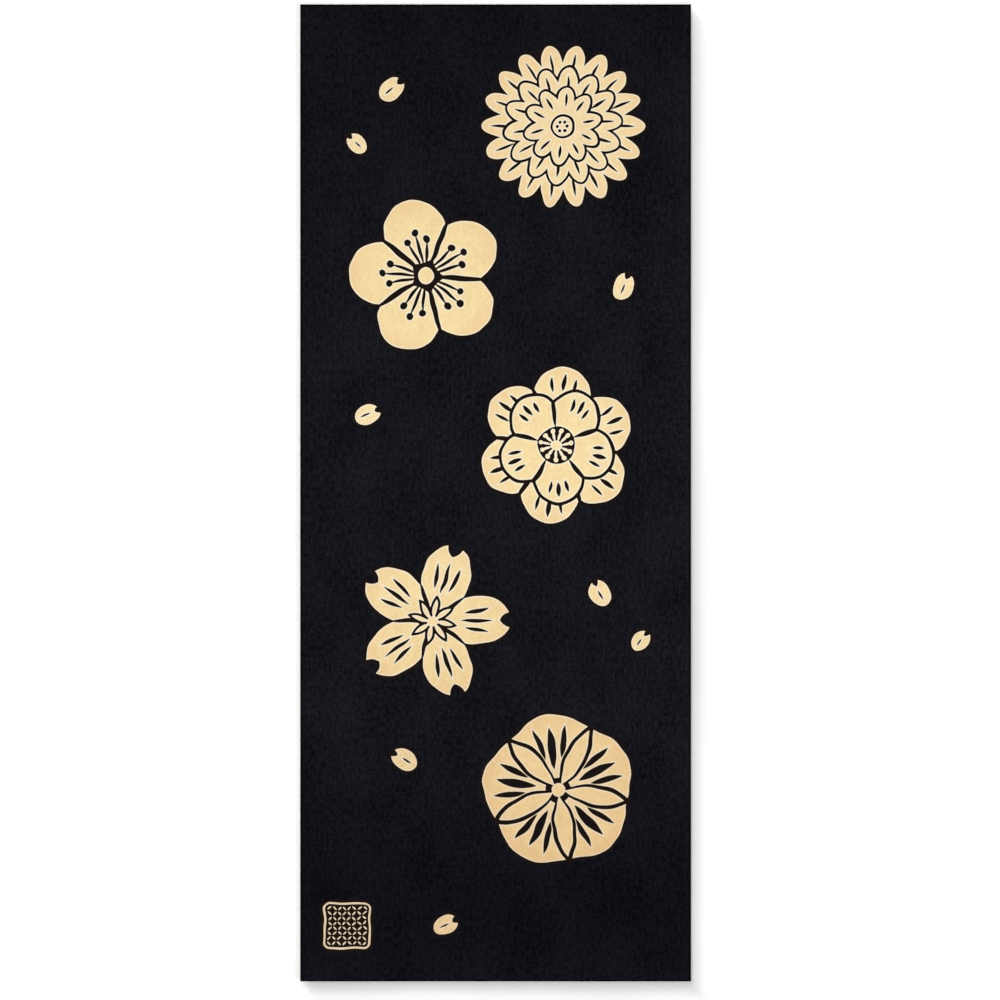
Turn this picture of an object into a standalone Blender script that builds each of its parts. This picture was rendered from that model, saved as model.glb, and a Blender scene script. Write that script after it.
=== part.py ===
"""A tenugui, the cotton hand towel of Japan: one cut length of plain-woven cloth, laid flat and face up.

Everything is in metres with +Z up. X runs across the width and Y along the length. The origin lies under
the middle of the cloth, on the surface that it rests on.
"""

import math

import bpy

# The cut length of cloth
WIDTH = 0.360
LENGTH = 0.900
CLOTH_THICKNESS = 0.0010

# The woven selvedge along each long side is denser than the rest, so it stands a little proud
SELVEDGE_WIDTH = 0.0040
SELVEDGE_THICKNESS = 0.00125
SELVEDGE_STEP = 0.0008
EDGE_ROUNDING = 0.00025

# The middle lies flat. Towards its edges the cloth eases up off the surface a little, and unevenly: most
# along the right and the near edge, where it throws a shadow
LIFT_REACH = 0.034
EDGE_LIFTS = (
    # edge, mean lift, height of its slow waves, waves along the edge, start of the first wave
    ("left", 0.0005, 0.0002, 2.3, 0.15),
    ("right", 0.0013, 0.00025, 1.9, 0.55),
    ("near", 0.0014, 0.00025, 1.2, 0.30),
    ("far", 0.0006, 0.0002, 1.4, 0.80),
)
RIPPLE_SHARE = 0.35
RIPPLES_PER_WAVE = 2.7

# How two lifting edges meet at a corner: the greater this is, the closer the lift is to the higher one's
CORNER_BLEND = 3

# Distances in from an edge where the mesh has a row: close together over the selvedge, wider further in
EDGE_ROWS = (
    0.0,
    SELVEDGE_WIDTH - SELVEDGE_STEP,
    SELVEDGE_WIDTH,
    0.0075,
    0.0120,
    0.0180,
    0.0250,
    LIFT_REACH,
)
ROW_SPACING = 0.022

DYED_COTTON_COLOUR = (0.0075, 0.0080, 0.0110, 1.0)
COTTON_ROUGHNESS = 0.95


def clear_scene():
    """Remove whatever the file holds, so that the model starts from nothing."""
    for obj in list(bpy.data.objects):
        bpy.data.objects.remove(obj, do_unlink=True)


def row_places(extent):
    """Where the mesh has its rows across one side of the cloth, from edge to edge."""
    half = extent / 2
    flat = extent - 2 * EDGE_ROWS[-1]
    bays = round(flat / ROW_SPACING)
    rim = [distance - half for distance in EDGE_ROWS]
    middle = [rim[-1] + flat * bay / bays for bay in range(1, bays)]
    far_rim = [-place for place in reversed(rim)]
    return rim + middle + far_rim


def edge_lift(inset, along, mean, sway, waves, start):
    """How far one edge has lifted a point that lies inset from it and at a share along it."""
    if inset >= LIFT_REACH:
        return 0.0
    turn = 2 * math.pi * (waves * along + start)
    wave = (1 - RIPPLE_SHARE) * math.sin(turn) + RIPPLE_SHARE * math.sin(RIPPLES_PER_WAVE * turn)
    return (mean + sway * wave) * (1 - inset / LIFT_REACH) ** 2


def lift_at(x, y):
    """The height of the underside above the surface. At a corner its two lifting edges run together."""
    across = x / WIDTH + 0.5
    along = y / LENGTH + 0.5
    places = {
        "left": (x + WIDTH / 2, along),
        "right": (WIDTH / 2 - x, along),
        "near": (y + LENGTH / 2, across),
        "far": (LENGTH / 2 - y, across),
    }
    total = 0.0
    for edge, mean, sway, waves, start in EDGE_LIFTS:
        inset, share = places[edge]
        total += edge_lift(inset, share, mean, sway, waves, start) ** CORNER_BLEND
    return total ** (1 / CORNER_BLEND)


def thickness_at(x):
    """The cloth's thickness at a place across its width, which rises in a step to the selvedge's."""
    inset = WIDTH / 2 - abs(x)
    rise = (SELVEDGE_WIDTH - inset) / SELVEDGE_STEP
    share = min(max(rise, 0.0), 1.0)
    return CLOTH_THICKNESS + share * (SELVEDGE_THICKNESS - CLOTH_THICKNESS)


def underside_grid(name):
    """The cloth's underside as an open grid, with its points lifted towards the edges."""
    columns = row_places(WIDTH)
    rows = row_places(LENGTH)
    bpy.ops.mesh.primitive_grid_add(
        x_subdivisions=len(columns) - 1,
        y_subdivisions=len(rows) - 1,
        size=2.0,
    )
    cloth = bpy.context.object
    cloth.name = name
    cloth.data.name = name
    for vertex in cloth.data.vertices:
        column = round((vertex.co.x + 1) / 2 * (len(columns) - 1))
        row = round((vertex.co.y + 1) / 2 * (len(rows) - 1))
        x = columns[column]
        y = rows[row]
        vertex.co = (x, y, lift_at(x, y))
    return cloth


def give_thickness(cloth):
    """Thicken the underside upwards into the cloth, more at the selvedges, and round its edges."""
    group = cloth.vertex_groups.new(name="Thickness")
    for vertex in cloth.data.vertices:
        group.add([vertex.index], thickness_at(vertex.co.x) / SELVEDGE_THICKNESS, "REPLACE")
    solidify = cloth.modifiers.new("Cloth thickness", "SOLIDIFY")
    solidify.thickness = SELVEDGE_THICKNESS
    solidify.offset = 1.0
    solidify.vertex_group = group.name
    bevel = cloth.modifiers.new("Rounded edges", "BEVEL")
    bevel.width = EDGE_ROUNDING
    bevel.segments = 2
    bevel.limit_method = "ANGLE"
    bevel.angle_limit = math.radians(60)


def dyed_cotton():
    """Plain-woven cotton dyed close to black, with no shine."""
    material = bpy.data.materials.new("Dyed cotton")
    material.use_nodes = True
    surface = material.node_tree.nodes["Principled BSDF"]
    surface.inputs["Base Color"].default_value = DYED_COTTON_COLOUR
    surface.inputs["Roughness"].default_value = COTTON_ROUGHNESS
    surface.inputs["Metallic"].default_value = 0.0
    return material


def build_tenugui():
    """Build the towel in a collection of its own."""
    clear_scene()
    collection = bpy.data.collections.new("Tenugui")
    bpy.context.scene.collection.children.link(collection)
    cloth = underside_grid("cloth")
    for owner in list(cloth.users_collection):
        owner.objects.unlink(cloth)
    collection.objects.link(cloth)
    cloth.data.materials.append(dyed_cotton())
    cloth.data.shade_smooth()
    cloth.data.set_sharp_from_angle(angle=math.radians(40))
    give_thickness(cloth)


build_tenugui()
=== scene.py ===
"""Dresses a tenugui: the woven sheet with its dyed flowers, its cut yarn ends, and a plain studio.

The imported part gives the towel's width and length. Everything on the cloth is in metres in the part's own
frame: X across the width, Y along the length, Z up. The stencilled figures are drawn in millimetres, as a
pattern cutter would, and are laid on the cloth at the end.
"""

import logging
import math
from abc import ABC, abstractmethod
from dataclasses import dataclass, field
from enum import Enum
from typing import Any, Iterable, Iterator, Sequence

import bpy
import numpy as np
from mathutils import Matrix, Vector
from mathutils.geometry import delaunay_2d_cdt


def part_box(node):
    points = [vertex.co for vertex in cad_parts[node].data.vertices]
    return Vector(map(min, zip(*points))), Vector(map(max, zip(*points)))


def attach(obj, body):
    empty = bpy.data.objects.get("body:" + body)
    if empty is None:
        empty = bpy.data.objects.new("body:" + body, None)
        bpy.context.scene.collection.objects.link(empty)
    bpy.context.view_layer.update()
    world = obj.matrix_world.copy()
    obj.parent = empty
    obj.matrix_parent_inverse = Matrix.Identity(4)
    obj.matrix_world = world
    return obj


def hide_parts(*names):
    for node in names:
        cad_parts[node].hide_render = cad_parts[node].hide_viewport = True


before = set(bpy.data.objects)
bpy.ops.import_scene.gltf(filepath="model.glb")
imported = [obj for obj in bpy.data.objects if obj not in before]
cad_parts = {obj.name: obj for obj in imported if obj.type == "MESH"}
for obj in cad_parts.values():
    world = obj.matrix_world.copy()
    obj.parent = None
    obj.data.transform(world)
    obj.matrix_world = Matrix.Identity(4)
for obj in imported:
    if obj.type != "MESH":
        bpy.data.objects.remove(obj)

log = logging.getLogger("tenugui")

MM = 0.001
FULL_TURN = 2 * math.pi
# Keeps a division clear of nought
TINY = 1e-9
CAD_NODE = "cloth"

# Numbers for many points at once, such as their places or their distances from a shape
Field = np.ndarray


def linear_colour(hex_colour: str) -> tuple[float, float, float, float]:
    """Turn an sRGB hex colour into linear light.

    Args:
        hex_colour: The colour as it would be picked on a screen, such as "#EFD6A8".

    Returns:
        Linear red, green and blue, and an alpha of one.
    """
    channels = [int(hex_colour[place:place + 2], 16) / 255 for place in (1, 3, 5)]
    linear = [c / 12.92 if c <= 0.04045 else ((c + 0.055) / 1.055) ** 2.4 for c in channels]
    return linear[0], linear[1], linear[2], 1.0


def add_node(
    tree: bpy.types.NodeTree, kind: str, inputs: dict[str | int, Any], **settings: Any
) -> bpy.types.Node:
    """Add one node to a material, with its options, its values and its links.

    Args:
        tree: The material's nodes.
        kind: The node's type, such as "ShaderNodeMath".
        inputs: What goes into each input, by name or place: a value, or the output of another node.
        **settings: The node's own options, such as operation="ADD".

    Returns:
        The new node.
    """
    node = tree.nodes.new(kind)
    for option, value in settings.items():
        setattr(node, option, value)
    for place, value in inputs.items():
        if isinstance(value, bpy.types.NodeSocket):
            tree.links.new(value, node.inputs[place])
        else:
            node.inputs[place].default_value = value
    return node


def add_object(name: str, data: bpy.types.ID) -> bpy.types.Object:
    """Make an object and put it in the scene.

    Args:
        name: Its name.
        data: What it shows: a mesh, a light or a camera.

    Returns:
        The object.
    """
    made = bpy.data.objects.new(name, data)
    bpy.context.scene.collection.objects.link(made)
    return made


def slow_waves(
    x: Field, y: Field, count: int, lengths: tuple[float, float], chance: np.random.Generator
) -> Iterator[Field]:
    """Run even waves over the cloth in every direction, each with a length and a start of its own.

    Args:
        x: Places across the cloth.
        y: Places along it.
        count: How many waves there are.
        lengths: The shortest and the longest that a wave may be.
        chance: Where the random numbers come from.

    Yields:
        The height of one wave at each place, from -1 to 1.
    """
    for heading in np.linspace(0, math.pi, count, endpoint=False):
        wavelength = chance.uniform(*lengths)
        along = x * math.cos(heading) + y * math.sin(heading)
        yield np.sin(FULL_TURN * (along / wavelength + chance.uniform()))


# Shapes told by distance: each function gives how far a point lies from an edge, less than nought inside


def oval(along: Field, across: Field, middle: float, half_length: float, half_width: float) -> Field:
    """Give the distance to an oval that lies along a petal's line.

    Args:
        along: How far each point lies out along the petal's line.
        across: How far it lies to one side of that line.
        middle: How far out the oval's middle is.
        half_length: Half the oval's length.
        half_width: Half its width.

    Returns:
        The distance to its edge.
    """
    u = (along - middle) / half_length
    v = across / half_width
    size = np.hypot(u, v)
    slope = np.maximum(np.hypot(u / half_length, v / half_width), TINY)
    return size * (size - 1) / slope


def slit(along: Field, across: Field, start: float, end: float, width: float) -> Field:
    """Give the distance to a slit with two pointed ends, as a stencil knife cuts it.

    Args:
        along: How far each point lies out along the slit's line.
        across: How far it lies to one side of that line.
        start: Where the slit starts along its line.
        end: Where it ends.
        width: How wide it is at its middle.

    Returns:
        The distance to its edge.
    """
    half = (end - start) / 2
    radius = (half**2 + (width / 2) ** 2) / width
    return np.hypot(along - (start + end) / 2, np.abs(across) + radius - width / 2) - radius


def disc(x: Field, y: Field, radius: float) -> Field:
    """Give the distance to a disc round the middle."""
    return np.hypot(x, y) - radius


def joined(*shapes: Field) -> Field:
    """Join shapes into one."""
    return np.minimum.reduce(shapes)


def cut_from(shape: Field, *holes: Field) -> Field:
    """Cut holes out of a shape."""
    return np.maximum.reduce([shape, *(-hole for hole in holes)])


def laid_over(upper: Field, lower: Field, gap: float) -> Field:
    """Lay one shape over another, with a dark line of the gap's width round the upper one."""
    return np.minimum(upper, np.maximum(lower, gap - upper))


def round_middle(x: Field, y: Field, count: int, turn: float) -> tuple[Field, Field]:
    """Measure each point from the nearest of the lines that stand evenly round the middle.

    Args:
        x: The points' places across the figure.
        y: Their places up it.
        count: How many lines there are.
        turn: The angle of the first, in radians.

    Returns:
        How far each point lies out along its line, and how far to one side of it.
    """
    step = FULL_TURN / count
    angle = (np.arctan2(y, x) - turn + step / 2) % step - step / 2
    radius = np.hypot(x, y)
    return radius * np.cos(angle), radius * np.sin(angle)


def leaning(along: Field, across: Field, lean: float) -> tuple[Field, Field]:
    """Turn a petal's line about the flower's middle by a small angle.

    Args:
        along: How far each point lies out along the petal's line.
        across: How far it lies to one side of that line.
        lean: The angle, in radians.

    Returns:
        How far each point lies out along the turned line, and how far to one side of it.
    """
    turned_along = along * math.cos(lean) + across * math.sin(lean)
    turned_across = across * math.cos(lean) - along * math.sin(lean)
    return turned_along, turned_across


def fan(along: Field, across: Field, cuts: Iterable[Sequence[float]]) -> Field:
    """Give the distance to slits that fan out over a petal.

    Args:
        along: How far each point lies out along the petal's line.
        across: How far it lies to one side of that line.
        cuts: Each slit's lean from the petal's line in radians, its start, its end and its width.

    Returns:
        The distance to the nearest slit's edge.
    """
    return joined(*(slit(*leaning(along, across, lean), *cut) for lean, *cut in cuts))


# The figures of the stencil, in millimetres


@dataclass(frozen=True)
class KnifeHand:
    """How the hand that cuts the stencil strays from the drawn line: a little, and slowly."""

    stray: float = 0.38
    lengths: tuple[float, float] = (15.0, 42.0)
    waves: int = 7
    seed: int = 5

    def strayed(self, x: Field, y: Field) -> tuple[Field, Field]:
        """Shift points by as much as the knife strays there.

        Args:
            x: Places across the cloth.
            y: Places along it.

        Returns:
            The shifted places.
        """
        chance = np.random.default_rng(self.seed)
        share = self.stray * math.sqrt(2 / self.waves)
        aside, up = (
            sum(share * wave for wave in slow_waves(x, y, self.waves, self.lengths, chance))
            for _ in range(2)
        )
        return x + aside, y + up


@dataclass(frozen=True)
class Petals:
    """A ring of like petals round a flower's middle."""

    count: int
    middle: float
    half_length: float
    half_width: float
    turn: float = 0.0

    @property
    def reach(self) -> float:
        """Return how far the petals reach from the flower's middle."""
        return self.middle + self.half_length

    def places(self, *shares: float) -> list[float]:
        """Turn shares of a petal's half length, from its middle, into places along its line."""
        return [self.middle + share * self.half_length for share in shares]

    def lines(self, x: Field, y: Field) -> tuple[Field, Field]:
        """Measure points from the line of the nearest petal."""
        return round_middle(x, y, self.count, self.turn)

    def seams(self, x: Field, y: Field) -> tuple[Field, Field]:
        """Measure points from the nearest line that parts two petals."""
        return round_middle(x, y, self.count, self.turn + FULL_TURN / self.count / 2)

    def distance(self, x: Field, y: Field) -> Field:
        """Give the distance to the petals' edge."""
        along, across = self.lines(x, y)
        return oval(along, across, self.middle, self.half_length, self.half_width)


@dataclass(frozen=True)
class Figure(ABC):
    """A figure that the stencil's paste keeps pale: where its middle lies, and how it is turned."""

    x: float
    y: float
    turn: float = 0.0
    size: float = 1.0
    hand: KnifeHand = KnifeHand()

    @property
    @abstractmethod
    def reach(self) -> float:
        """Return how far the figure reaches from its middle at full size."""

    @abstractmethod
    def own_distance(self, x: Field, y: Field) -> Field:
        """Give the distance to the figure's edge from points about its own middle."""

    def reaches(self) -> float:
        """Return how far the figure reaches on the cloth."""
        return self.reach * self.size

    def distance(self, x: Field, y: Field) -> Field:
        """Give the distance to the figure's edge where it lies on the cloth.

        Args:
            x: The points' places across the cloth, in millimetres.
            y: Their places along it.

        Returns:
            The distance in millimetres, less than nought on the figure.
        """
        strayed_x, strayed_y = self.hand.strayed(x, y)
        right, up = strayed_x - self.x, strayed_y - self.y
        along = right * math.cos(self.turn) + up * math.sin(self.turn)
        across = up * math.cos(self.turn) - right * math.sin(self.turn)
        return self.own_distance(along / self.size, across / self.size) * self.size

    def share_out(self, x: Field, y: Field) -> Field:
        """Give how far out each point lies, as a share of the figure's reach."""
        return np.hypot(x - self.x, y - self.y) / self.reaches()


@dataclass(frozen=True)
class Chrysanthemum(Figure):
    """A many-petalled flower: three rings of petals, each over the one outside it, and a dotted heart."""

    rings: tuple[Petals, ...] = (
        Petals(count=18, middle=54.5, half_length=21.5, half_width=10.2),
        Petals(count=14, middle=37.0, half_length=17.5, half_width=9.2, turn=0.11),
        Petals(count=10, middle=22.5, half_length=13.5, half_width=7.6, turn=0.20),
    )
    # Where a petal's crease starts and ends, from its middle, as shares of its half length
    crease: tuple[float, float] = (-0.35, 0.62)
    crease_width: float = 2.6
    line: float = 2.2
    heart: float = 9.0
    heart_dots: int = 6
    heart_dot: float = 1.5

    @property
    def reach(self) -> float:
        """Return the outer petals' reach."""
        return self.rings[0].reach

    def own_distance(self, x: Field, y: Field) -> Field:
        """Lay the rings over each other from the outside in, and the heart on top.

        Args:
            x: Places across the figure.
            y: Places up it.

        Returns:
            The distance to the figure's edge.
        """
        shape = np.full_like(x, np.inf)
        for ring in self.rings:
            crease = slit(*ring.lines(x, y), *ring.places(*self.crease), self.crease_width)
            shape = laid_over(cut_from(ring.distance(x, y), crease), shape, self.line)
        out, aside = round_middle(x, y, self.heart_dots, 0.0)
        heart = cut_from(disc(x, y, self.heart), disc(out - self.heart / 2, aside, self.heart_dot))
        return laid_over(heart, shape, self.line)


@dataclass(frozen=True)
class PlumBlossom(Figure):
    """Five round petals with a fan of stamens on each."""

    petals: Petals = Petals(count=5, middle=42.0, half_length=30.0, half_width=29.0, turn=FULL_TURN / 4)
    seam_start: float = 4.0
    seam_end: float = 60.0
    seam_width: float = 5.2
    stamens: tuple[tuple[float, float], ...] = (
        # lean from the petal's line in radians, reach
        (0.0, 41.0),
        (0.26, 35.0),
        (-0.26, 35.0),
    )
    stamen_start: float = 8.0
    stamen_width: float = 3.0
    anther: float = 3.3
    hollow: float = 12.0
    heart: float = 7.5

    @property
    def reach(self) -> float:
        """Return the petals' reach."""
        return self.petals.reach

    def own_distance(self, x: Field, y: Field) -> Field:
        """Cut the seams, the stamens and the hollow from the petals, and set the heart in the hollow.

        Args:
            x: Places across the figure.
            y: Places up it.

        Returns:
            The distance to the figure's edge.
        """
        along, across = self.petals.lines(x, y)
        cuts = [disc(x, y, self.hollow)]
        cuts.append(slit(*self.petals.seams(x, y), self.seam_start, self.seam_end, self.seam_width))
        for lean, reach in self.stamens:
            out, aside = leaning(along, across, lean)
            cuts.append(slit(out, aside, self.stamen_start, reach, self.stamen_width))
            cuts.append(disc(out - reach, aside, self.anther))
        return joined(cut_from(self.petals.distance(x, y), *cuts), disc(x, y, self.heart))


@dataclass(frozen=True)
class Camellia(Figure):
    """Two rings of broad petals round a bundle of stamens."""

    rings: tuple[Petals, ...] = (
        Petals(count=6, middle=45.0, half_length=28.0, half_width=27.0, turn=0.3),
        Petals(count=5, middle=30.0, half_length=23.0, half_width=22.0, turn=0.9),
    )
    # Seams and creases start and end at these places from a petal's middle, as shares of its half length
    seam: tuple[float, float] = (-0.60, 0.75)
    seam_width: float = 4.4
    creases: tuple[tuple[float, float, float, float], ...] = (
        # lean in radians, start, end, width
        (0.0, 0.20, 0.80, 4.2),
        (0.19, 0.15, 0.68, 3.2),
        (-0.19, 0.15, 0.68, 3.2),
    )
    line: float = 3.0
    hollow: float = 17.5
    stamen_count: int = 11
    stamen_start: float = 4.0
    stamen_end: float = 15.0
    stamen_width: float = 2.6
    anther: float = 2.2
    heart: float = 5.0

    @property
    def reach(self) -> float:
        """Return the outer petals' reach."""
        return self.rings[0].reach

    def ring_distance(self, ring: Petals, x: Field, y: Field) -> Field:
        """Give the distance to one ring of petals, with its seams and creases cut out.

        Args:
            ring: The petals.
            x: Places across the figure.
            y: Places up it.

        Returns:
            The distance to the cut petals.
        """
        seam = slit(*ring.seams(x, y), *ring.places(*self.seam), self.seam_width)
        creases = [(lean, *ring.places(start, end), width) for lean, start, end, width in self.creases]
        return cut_from(ring.distance(x, y), seam, fan(*ring.lines(x, y), creases))

    def own_distance(self, x: Field, y: Field) -> Field:
        """Lay the inner petals over the outer ones, and set the stamens in their hollow.

        Args:
            x: Places across the figure.
            y: Places up it.

        Returns:
            The distance to the figure's edge.
        """
        outer, inner = (self.ring_distance(ring, x, y) for ring in self.rings)
        petals = cut_from(laid_over(inner, outer, self.line), disc(x, y, self.hollow))
        along, across = round_middle(x, y, self.stamen_count, 0.0)
        stalks = slit(along, across, self.stamen_start, self.stamen_end, self.stamen_width)
        anthers = disc(along - self.stamen_end + self.anther / 2, across, self.anther)
        return joined(petals, stalks, anthers, disc(x, y, self.heart))


@dataclass(frozen=True)
class CherryBlossom(Figure):
    """Five notched petals, veined, round a star of stamens."""

    petals: Petals = Petals(count=5, middle=42.0, half_length=31.0, half_width=22.5, turn=FULL_TURN / 4)
    notch_depth: float = 11.0
    notch_width: float = 15.0
    # The notch is cut by a slit this many times as long as the notch is deep
    notch_stretch: float = 2.2
    veins: tuple[tuple[float, float, float, float], ...] = (
        # lean from the petal's line in radians, start, end, width
        (0.0, 26.0, 56.0, 3.7),
        (0.21, 30.0, 54.0, 3.7),
        (-0.21, 30.0, 54.0, 3.7),
    )
    seam_end: float = 40.0
    seam_width: float = 4.2
    star_points: int = 8
    star_turn: float = 0.1
    star_start: float = 3.0
    star_reach: float = 20.0
    star_width: float = 4.4
    heart: float = 5.0
    line: float = 2.3

    @property
    def reach(self) -> float:
        """Return the petals' reach."""
        return self.petals.reach

    def own_distance(self, x: Field, y: Field) -> Field:
        """Notch and vein the petals, part them, and lay the star over them.

        Args:
            x: Places across the figure.
            y: Places up it.

        Returns:
            The distance to the figure's edge.
        """
        along, across = self.petals.lines(x, y)
        notch_start = self.reach - self.notch_depth
        notch_end = notch_start + self.notch_stretch * self.notch_depth
        notch = slit(along, across, notch_start, notch_end, self.notch_width)
        seam = slit(*self.petals.seams(x, y), 0.0, self.seam_end, self.seam_width)
        petals = cut_from(self.petals.distance(x, y), notch, seam, fan(along, across, self.veins))
        out, aside = round_middle(x, y, self.star_points, self.star_turn)
        rays = slit(out, aside, self.star_start, self.star_reach, self.star_width)
        star = joined(rays, disc(x, y, self.heart))
        return laid_over(star, petals, self.line)


@dataclass(frozen=True)
class MorningGlory(Figure):
    """A trumpet flower seen from the front: a five-lobed face, a star of ribs, and pleats between them."""

    lobes: int = 5
    radius: float = 68.0
    lobe_height: float = 3.2
    first_lobe: float = FULL_TURN / 4
    rib_start: float = 6.0
    rib_end: float = 62.5
    rib_width: float = 15.0
    # The dark line round each rib: where it starts, and how wide it is
    clear_start: float = 3.0
    rib_gap: float = 3.4
    pleats: tuple[tuple[float, float, float, float], ...] = (
        # lean in radians, start, end, width
        (0.0, 20.0, 59.0, 8.0),
        (0.25, 30.0, 61.0, 5.6),
        (-0.25, 30.0, 61.0, 5.6),
    )
    hollow: float = 12.0
    heart: float = 6.5

    @property
    def reach(self) -> float:
        """Return the lobes' reach."""
        return self.radius + self.lobe_height

    def own_distance(self, x: Field, y: Field) -> Field:
        """Cut the ribs' outlines and the pleats from the face, and set the heart in the hollow.

        Args:
            x: Places across the figure.
            y: Places up it.

        Returns:
            The distance to the figure's edge.
        """
        wave = np.cos(self.lobes * (np.arctan2(y, x) - self.first_lobe))
        face = np.hypot(x, y) - self.radius - self.lobe_height * wave
        first_rib = self.first_lobe + FULL_TURN / self.lobes / 2
        rib_along, rib_across = round_middle(x, y, self.lobes, first_rib)
        ribs = slit(rib_along, rib_across, self.rib_start, self.rib_end, self.rib_width)
        clear_end = self.rib_end + 2 * self.rib_gap
        clear_width = self.rib_width + 2 * self.rib_gap
        clear = slit(rib_along, rib_across, self.clear_start, clear_end, clear_width)
        pleats = fan(*round_middle(x, y, self.lobes, self.first_lobe), self.pleats)
        face = cut_from(face, clear, disc(x, y, self.hollow), pleats)
        return joined(face, ribs, disc(x, y, self.heart))


@dataclass(frozen=True)
class LoosePetal(Figure):
    """A fallen petal with a notched tip and one crease."""

    half_length: float = 13.0
    half_width: float = 9.4
    # Where the notch and the crease start and end, from the middle, as shares of the half length
    notch: tuple[float, float] = (0.56, 1.5)
    notch_width: float = 6.8
    crease: tuple[float, float] = (-0.6, 0.24)
    crease_width: float = 1.9

    @property
    def reach(self) -> float:
        """Return half the petal's length."""
        return self.half_length

    def own_distance(self, x: Field, y: Field) -> Field:
        """Cut the notch and the crease from the petal.

        Args:
            x: Places across the figure.
            y: Places up it.

        Returns:
            The distance to the figure's edge.
        """
        cuts = [
            slit(x, y, start * self.half_length, end * self.half_length, width)
            for (start, end), width in ((self.notch, self.notch_width), (self.crease, self.crease_width))
        ]
        return cut_from(oval(x, y, 0.0, self.half_length, self.half_width), *cuts)


@dataclass(frozen=True)
class LatticeSquare(Figure):
    """A small framed square of the old pattern of linked circles, shown by the lenses where they overlap."""

    side: float = 43.0
    corner: float = 6.0
    frame_line: float = 1.8
    margin: float = 1.2
    cell: float = 9.3
    lens_inset: float = 0.6

    @property
    def reach(self) -> float:
        """Return the reach of the square's corners."""
        return self.side / 2 * math.sqrt(2)

    def circles(self, x: Field, y: Field, offset: float) -> Field:
        """Give the distance to the nearest circle of one of the two sets of circles.

        Args:
            x: Places across the square.
            y: Places up it.
            offset: How far the set is moved across and up.

        Returns:
            The distance to the nearest circle's edge.
        """
        half = self.cell / 2
        across = (x + offset + half) % self.cell - half
        up = (y + offset + half) % self.cell - half
        return disc(across, up, half)

    def own_distance(self, x: Field, y: Field) -> Field:
        """Draw the frame's line, and the lenses within its margin.

        Args:
            x: Places across the figure.
            y: Places up it.

        Returns:
            The distance to the figure's edge.
        """
        flat_half = self.side / 2 - self.corner
        out_x = np.abs(x) - flat_half
        out_y = np.abs(y) - flat_half
        outside = np.hypot(np.maximum(out_x, 0), np.maximum(out_y, 0))
        square = outside + np.minimum(np.maximum(out_x, out_y), 0) - self.corner
        line = np.maximum(square, -self.frame_line - square)
        lenses = np.maximum(self.circles(x, y, 0.0), self.circles(x, y, self.cell / 2)) + self.lens_inset
        field_inside = square + self.frame_line + self.margin
        return joined(line, np.maximum(field_inside, lenses))


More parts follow.
